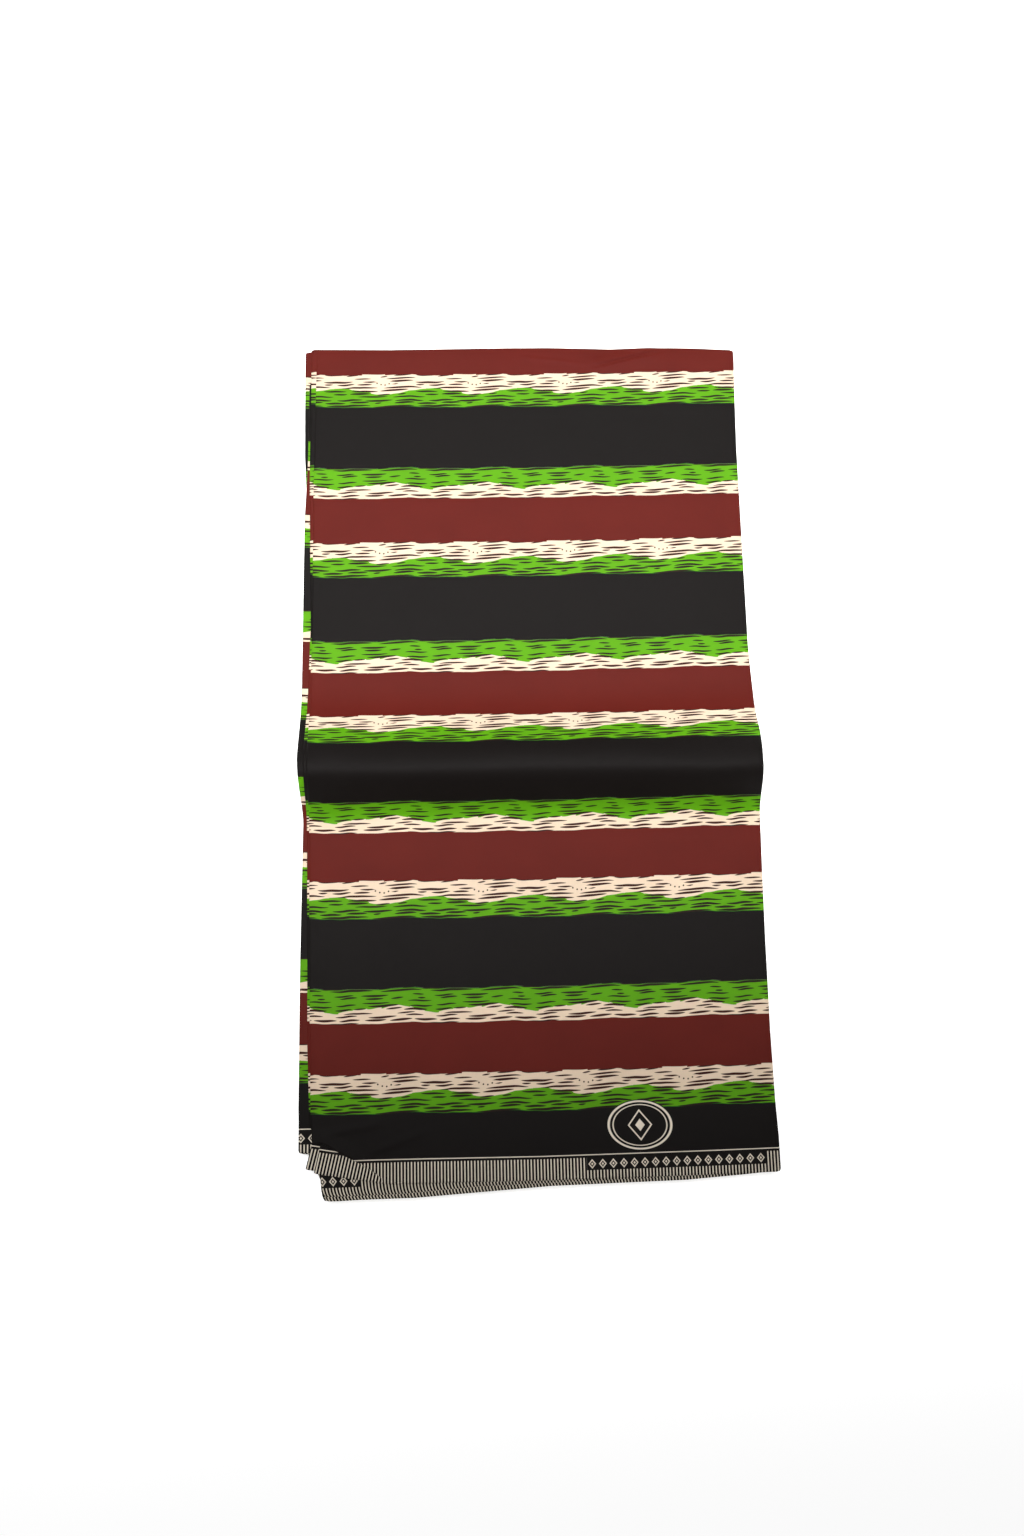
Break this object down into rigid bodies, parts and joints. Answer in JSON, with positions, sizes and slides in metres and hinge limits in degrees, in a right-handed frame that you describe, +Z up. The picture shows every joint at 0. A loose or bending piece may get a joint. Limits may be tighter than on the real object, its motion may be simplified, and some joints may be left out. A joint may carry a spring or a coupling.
{
  "type": "folded ankara fabric",
  "caption": "Length of striped wax-print cotton folded into a long flat bundle, with a soft raised band across the middle, a rumpled corner and layered edges.",
  "frame": {"origin": "middle of the bundle's box, on the flat underside that it rests on", "axes": "+Y along the bundle, from the near side with the selvedges to the fold at the far side; +X across it, away from the side where a lower fold sticks out; +Z up, out of the top panel"},
  "size_m": [0.3114, 0.5896, 0.0409],
  "materials": {
    "printed_cotton": "dense plain-weave cotton with a soft waxy sheen, printed on both sides in maroon, black, green and cream stripes"
  },
  "bodies": {
    "root": {"top_layer": "printed_cotton", "left_layer": "printed_cotton", "near_layer": "printed_cotton", "hidden_layers": "printed_cotton"}
  },
  "joints": []
}
